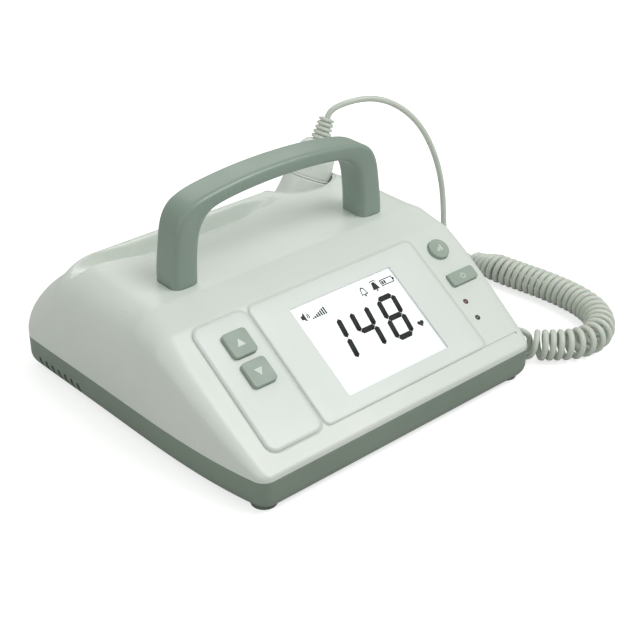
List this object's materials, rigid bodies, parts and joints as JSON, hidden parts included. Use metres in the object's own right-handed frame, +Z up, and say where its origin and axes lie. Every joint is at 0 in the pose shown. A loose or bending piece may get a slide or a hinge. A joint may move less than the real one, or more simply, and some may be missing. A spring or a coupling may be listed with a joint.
{
  "type": "fetal doppler monitor",
  "caption": "Desktop fetal heart monitor with display, keys, carry handle, and a probe on a curly cord standing in its cup.",
  "frame": {"origin": "under the middle of the console, on the table, cord left out", "axes": "+X to the right as the user sees the display, +Y to the rear, +Z up; the display faces -Y and up"},
  "size_m": [0.3003, 0.2236, 0.1308],
  "materials": {
    "shell_white": "satin",
    "shell_grey": "satin",
    "handle_grey": "satin",
    "key_grey": "satin",
    "window_clear": "gloss",
    "lcd_glass": "gloss",
    "board_green": "satin",
    "screw_steel": "satin",
    "switch_black": "satin",
    "lamp_red": "gloss",
    "lamp_green": "gloss",
    "battery_wrap": "satin",
    "foot_rubber": "matte",
    "cup_white": "satin",
    "pad_foam": "matte",
    "probe_white": "satin",
    "probe_face": "matte",
    "crystal": "matte",
    "cord_white": "satin"
  },
  "bodies": {
    "console": {"upper_housing": "shell_white", "display_bezel": "shell_white", "key_panel": "shell_white", "base_housing": "shell_grey", "battery_cover": "shell_grey", "carry_handle": "handle_grey", "display_window": "window_clear", "lcd_glass": "lcd_glass", "lcd_backlight": "lcd_glass", "main_board": "board_green", "key_board": "board_green", "board_screws": "screw_steel", "cover_screw": "screw_steel", "case_screws": "screw_steel", "handle_screws": "screw_steel", "left_switches": "switch_black", "right_switches": "switch_black", "cord_socket": "switch_black", "power_inlet": "switch_black", "phone_socket": "switch_black", "speaker": "switch_black", "alarm_lamp": "lamp_red", "charge_lamp": "lamp_green", "battery_pack": "battery_wrap", "foot_front_left": "foot_rubber", "foot_front_right": "foot_rubber", "foot_rear_left": "foot_rubber", "foot_rear_right": "foot_rubber", "probe_cup": "cup_white", "cup_pad": "pad_foam", "curly_cord": "cord_white", "cord_plug": "cord_white", "plug_relief": "cord_white"},
    "up_key": {"up_key": "key_grey"},
    "down_key": {"down_key": "key_grey"},
    "mode_key": {"mode_key": "key_grey"},
    "power_key": {"power_key": "key_grey"},
    "probe": {"probe_handle": "probe_white", "probe_ring": "probe_white", "probe_head": "probe_white", "probe_face": "probe_face", "probe_crystal": "crystal", "probe_relief": "cord_white", "straight_cord": "cord_white"}
  },
  "joints": [
    {"name": "up_key_press", "type": "slide", "parent": "console", "child": "up_key", "axis": [0, 0.5372, -0.8435], "range_m": [0, 0.001], "stiffness_N_per_m": 300, "springref_m": -0.002},
    {"name": "down_key_press", "type": "slide", "parent": "console", "child": "down_key", "axis": [0, 0.5372, -0.8435], "range_m": [0, 0.001], "stiffness_N_per_m": 300, "springref_m": -0.002},
    {"name": "mode_key_press", "type": "slide", "parent": "console", "child": "mode_key", "axis": [0, 0.5372, -0.8435], "range_m": [0, 0.001], "stiffness_N_per_m": 300, "springref_m": -0.002},
    {"name": "power_key_press", "type": "slide", "parent": "console", "child": "power_key", "axis": [0, 0.5372, -0.8435], "range_m": [0, 0.001], "stiffness_N_per_m": 300, "springref_m": -0.002},
    {"name": "probe_lift", "type": "slide", "parent": "console", "child": "probe", "axis": [0, 0, 1], "range_m": [0, 0.05]}
  ]
}
